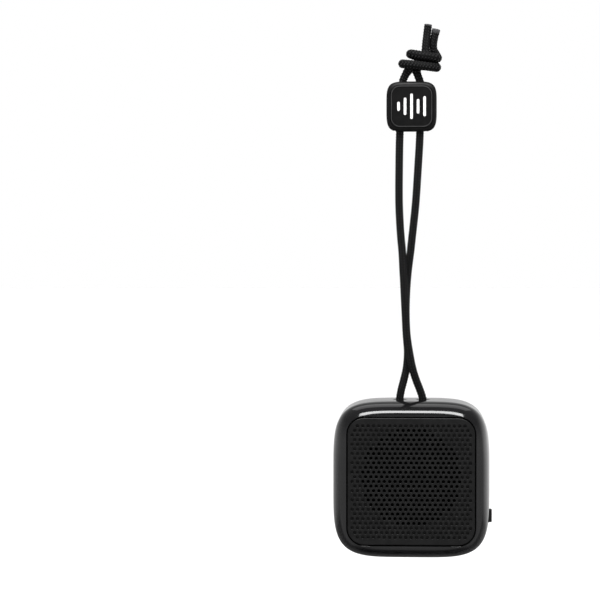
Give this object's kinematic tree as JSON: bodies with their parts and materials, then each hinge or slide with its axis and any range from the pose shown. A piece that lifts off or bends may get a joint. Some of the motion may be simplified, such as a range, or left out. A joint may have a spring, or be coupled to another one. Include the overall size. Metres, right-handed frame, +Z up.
{
  "type": "shower speaker",
  "caption": "Small square waterproof loudspeaker with a perforated front grille, hung on a looped braided cord with a sliding tag and a tied end.",
  "frame": {"origin": "the hanging point, midway between the two strands of the cord, just beneath the tag", "axes": "+Z up along the cord, -Y is the way the grille faces, +X is the speaker's right as seen from the front"},
  "size_m": [0.0508, 0.0362, 0.1715],
  "materials": {
    "gloss_shell": "high gloss black",
    "grille_plastic": "fine satin texture",
    "soft_panel": "matte, fine spark texture",
    "tag_rubber": "matte soft touch",
    "tag_plate": "satin",
    "cord_braid": "fine tubular braid",
    "control_rubber": "satin silicone",
    "seal_rubber": "smooth",
    "mesh_fabric": "fine woven mesh",
    "steel": "plated",
    "frame_metal": "satin black",
    "ferrite": "fine grained",
    "fibre": "fibre sheet",
    "spider_fabric": "resin treated cloth",
    "cone_paper": "pressed pulp",
    "copper": "enamelled wire",
    "board": "solder mask",
    "chip": "moulded",
    "part_tan": "moulded",
    "plunger": "moulded",
    "cell_foil": "pouch foil",
    "foam": "closed cell foam",
    "tape": "adhesive film",
    "wire_red": "insulated",
    "wire_white": "insulated",
    "led": "moulded",
    "lens": "clear"
  },
  "bodies": {
    "cord": {"cord_left": "cord_braid", "cord_right": "cord_braid", "cord_knot": "cord_braid", "cord_tails": "cord_braid"},
    "speaker": {"rear_housing": "gloss_shell", "front_bezel": "gloss_shell", "housing_seal": "seal_rubber", "housing_screws": "steel", "rear_panel": "soft_panel", "panel_tape": "tape", "grille": "grille_plastic", "acoustic_mesh": "mesh_fabric", "driver_gasket": "seal_rubber", "driver_frame": "frame_metal", "driver_terminals": "fibre", "top_plate": "steel", "magnet": "ferrite", "yoke": "steel", "surround": "seal_rubber", "spider": "spider_fabric", "circuit_board": "board", "key_board": "board", "board_screws": "steel", "radio_chip": "chip", "amplifier_chip": "chip", "board_parts": "part_tan", "usb_socket": "steel", "battery": "cell_foil", "battery_pad": "foam", "speaker_wires": "wire_red", "battery_wires": "wire_red", "key_wires": "wire_white", "key_switch": "chip", "status_led": "led", "light_pipe": "lens", "cover_anchor": "control_rubber", "cord_pin": "steel", "cord_loop": "cord_braid"},
    "button": {"power_button": "control_rubber", "switch_plunger": "plunger"},
    "diaphragm": {"cone": "cone_paper", "dust_cap": "cone_paper", "coil_former": "fibre", "voice_coil": "copper"},
    "cover": {"port_cover": "control_rubber"},
    "tag": {"tag_body": "tag_rubber", "tag_plate": "tag_plate"}
  },
  "joints": [
    {"name": "speaker_swing", "type": "hinge", "parent": "cord", "child": "speaker", "pos_m": [0, 0, -0.0856], "axis": [1, 0, 0], "range_deg": [-25, 25]},
    {"name": "tag_slide", "type": "slide", "parent": "cord", "child": "tag", "axis": [0, 0, 1], "range_m": [-0.037, 0]},
    {"name": "button_press", "type": "slide", "parent": "speaker", "child": "button", "axis": [-1, 0, 0], "range_m": [0, 0.0005], "stiffness_N_per_m": 500},
    {"name": "cone_stroke", "type": "slide", "parent": "speaker", "child": "diaphragm", "axis": [0, -1, 0], "range_m": [-0.0006, 0.0006], "stiffness_N_per_m": 900},
    {"name": "cover_hinge", "type": "hinge", "parent": "speaker", "child": "cover", "pos_m": [0.0245, 0.0044, -0.1209], "axis": [0, 0, 1], "range_deg": [0, 110], "stiffness_Nm_per_rad": 0.0003}
  ]
}
